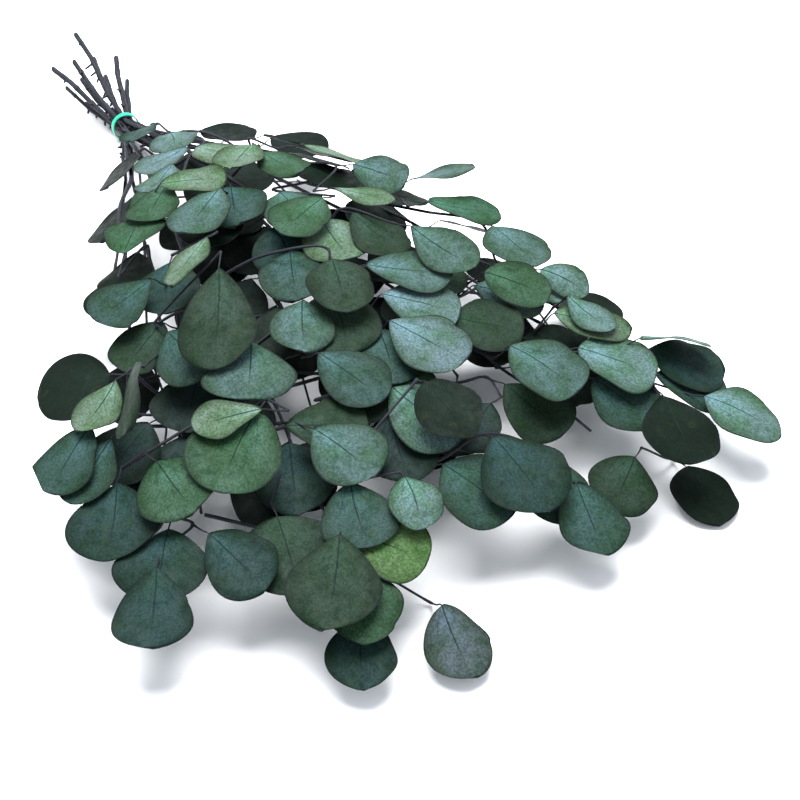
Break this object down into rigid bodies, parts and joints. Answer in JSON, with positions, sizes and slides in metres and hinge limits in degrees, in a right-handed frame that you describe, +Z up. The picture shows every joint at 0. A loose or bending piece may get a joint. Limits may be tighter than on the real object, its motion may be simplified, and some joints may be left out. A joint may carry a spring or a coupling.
{
  "type": "tied bunch of preserved eucalyptus branches",
  "caption": "Bunch of preserved round-leaf eucalyptus branches, tied near the cut ends with a turquoise elastic band and lying down.",
  "frame": {"origin": "under the middle of the bunch's bounding box, on the surface it lies on", "axes": "+Y along the bunch towards the cut ends, +X to the right seen from the leaf tips, +Z up from the surface it lies on"},
  "size_m": [0.3368, 0.6326, 0.0929],
  "materials": {
    "leaf": "preserved eucalyptus leaf, matt with a soft waxy bloom",
    "leaf_inner": "preserved eucalyptus leaf, dark and matt",
    "bark": "thin dark grey bark, matt",
    "band_elastic": "turquoise elastic, satin"
  },
  "bodies": {
    "root": {"tie_band": "band_elastic", "stem_01": "bark", "stem_02": "bark", "stem_03": "bark", "stem_04": "bark", "stem_05": "bark", "stem_06": "bark", "stem_07": "bark", "stem_08": "bark", "stem_09": "bark", "stem_10": "bark", "stem_11": "bark", "stem_12": "bark", "leafy_shoot_01": "leaf", "leafy_shoot_02": "leaf", "leafy_shoot_03": "leaf", "leafy_shoot_04": "leaf", "leafy_shoot_05": "leaf", "leafy_shoot_06": "leaf", "leafy_shoot_07": "leaf", "leafy_shoot_08": "leaf", "leafy_shoot_09": "leaf", "leafy_shoot_10": "leaf", "leafy_shoot_11": "leaf", "leafy_shoot_12": "leaf", "leafy_shoot_13": "leaf", "leafy_shoot_14": "leaf", "leafy_shoot_15": "leaf", "leafy_shoot_16": "leaf", "leafy_shoot_17": "leaf", "leafy_shoot_18": "leaf", "leafy_shoot_19": "leaf", "leafy_shoot_20": "leaf", "leafy_shoot_21": "leaf", "leafy_shoot_22": "leaf", "leafy_shoot_23": "leaf", "leafy_shoot_24": "leaf", "leafy_shoot_25": "leaf", "leafy_shoot_26": "leaf", "leafy_shoot_27": "leaf", "leafy_shoot_28": "leaf", "leafy_shoot_29": "leaf", "leafy_shoot_30": "leaf", "leafy_shoot_31": "leaf", "leafy_shoot_32": "leaf", "leafy_shoot_33": "leaf", "leafy_shoot_34": "leaf", "leafy_shoot_35": "leaf", "leafy_shoot_36": "leaf", "leafy_shoot_37": "leaf", "leafy_shoot_38": "leaf", "leafy_shoot_39": "leaf", "leafy_shoot_40": "leaf", "inner_shoot_1": "leaf_inner", "inner_shoot_2": "leaf_inner", "inner_shoot_3": "leaf_inner", "inner_shoot_4": "leaf_inner", "inner_shoot_5": "leaf_inner", "inner_shoot_6": "leaf_inner", "inner_shoot_7": "leaf_inner"}
  },
  "joints": []
}
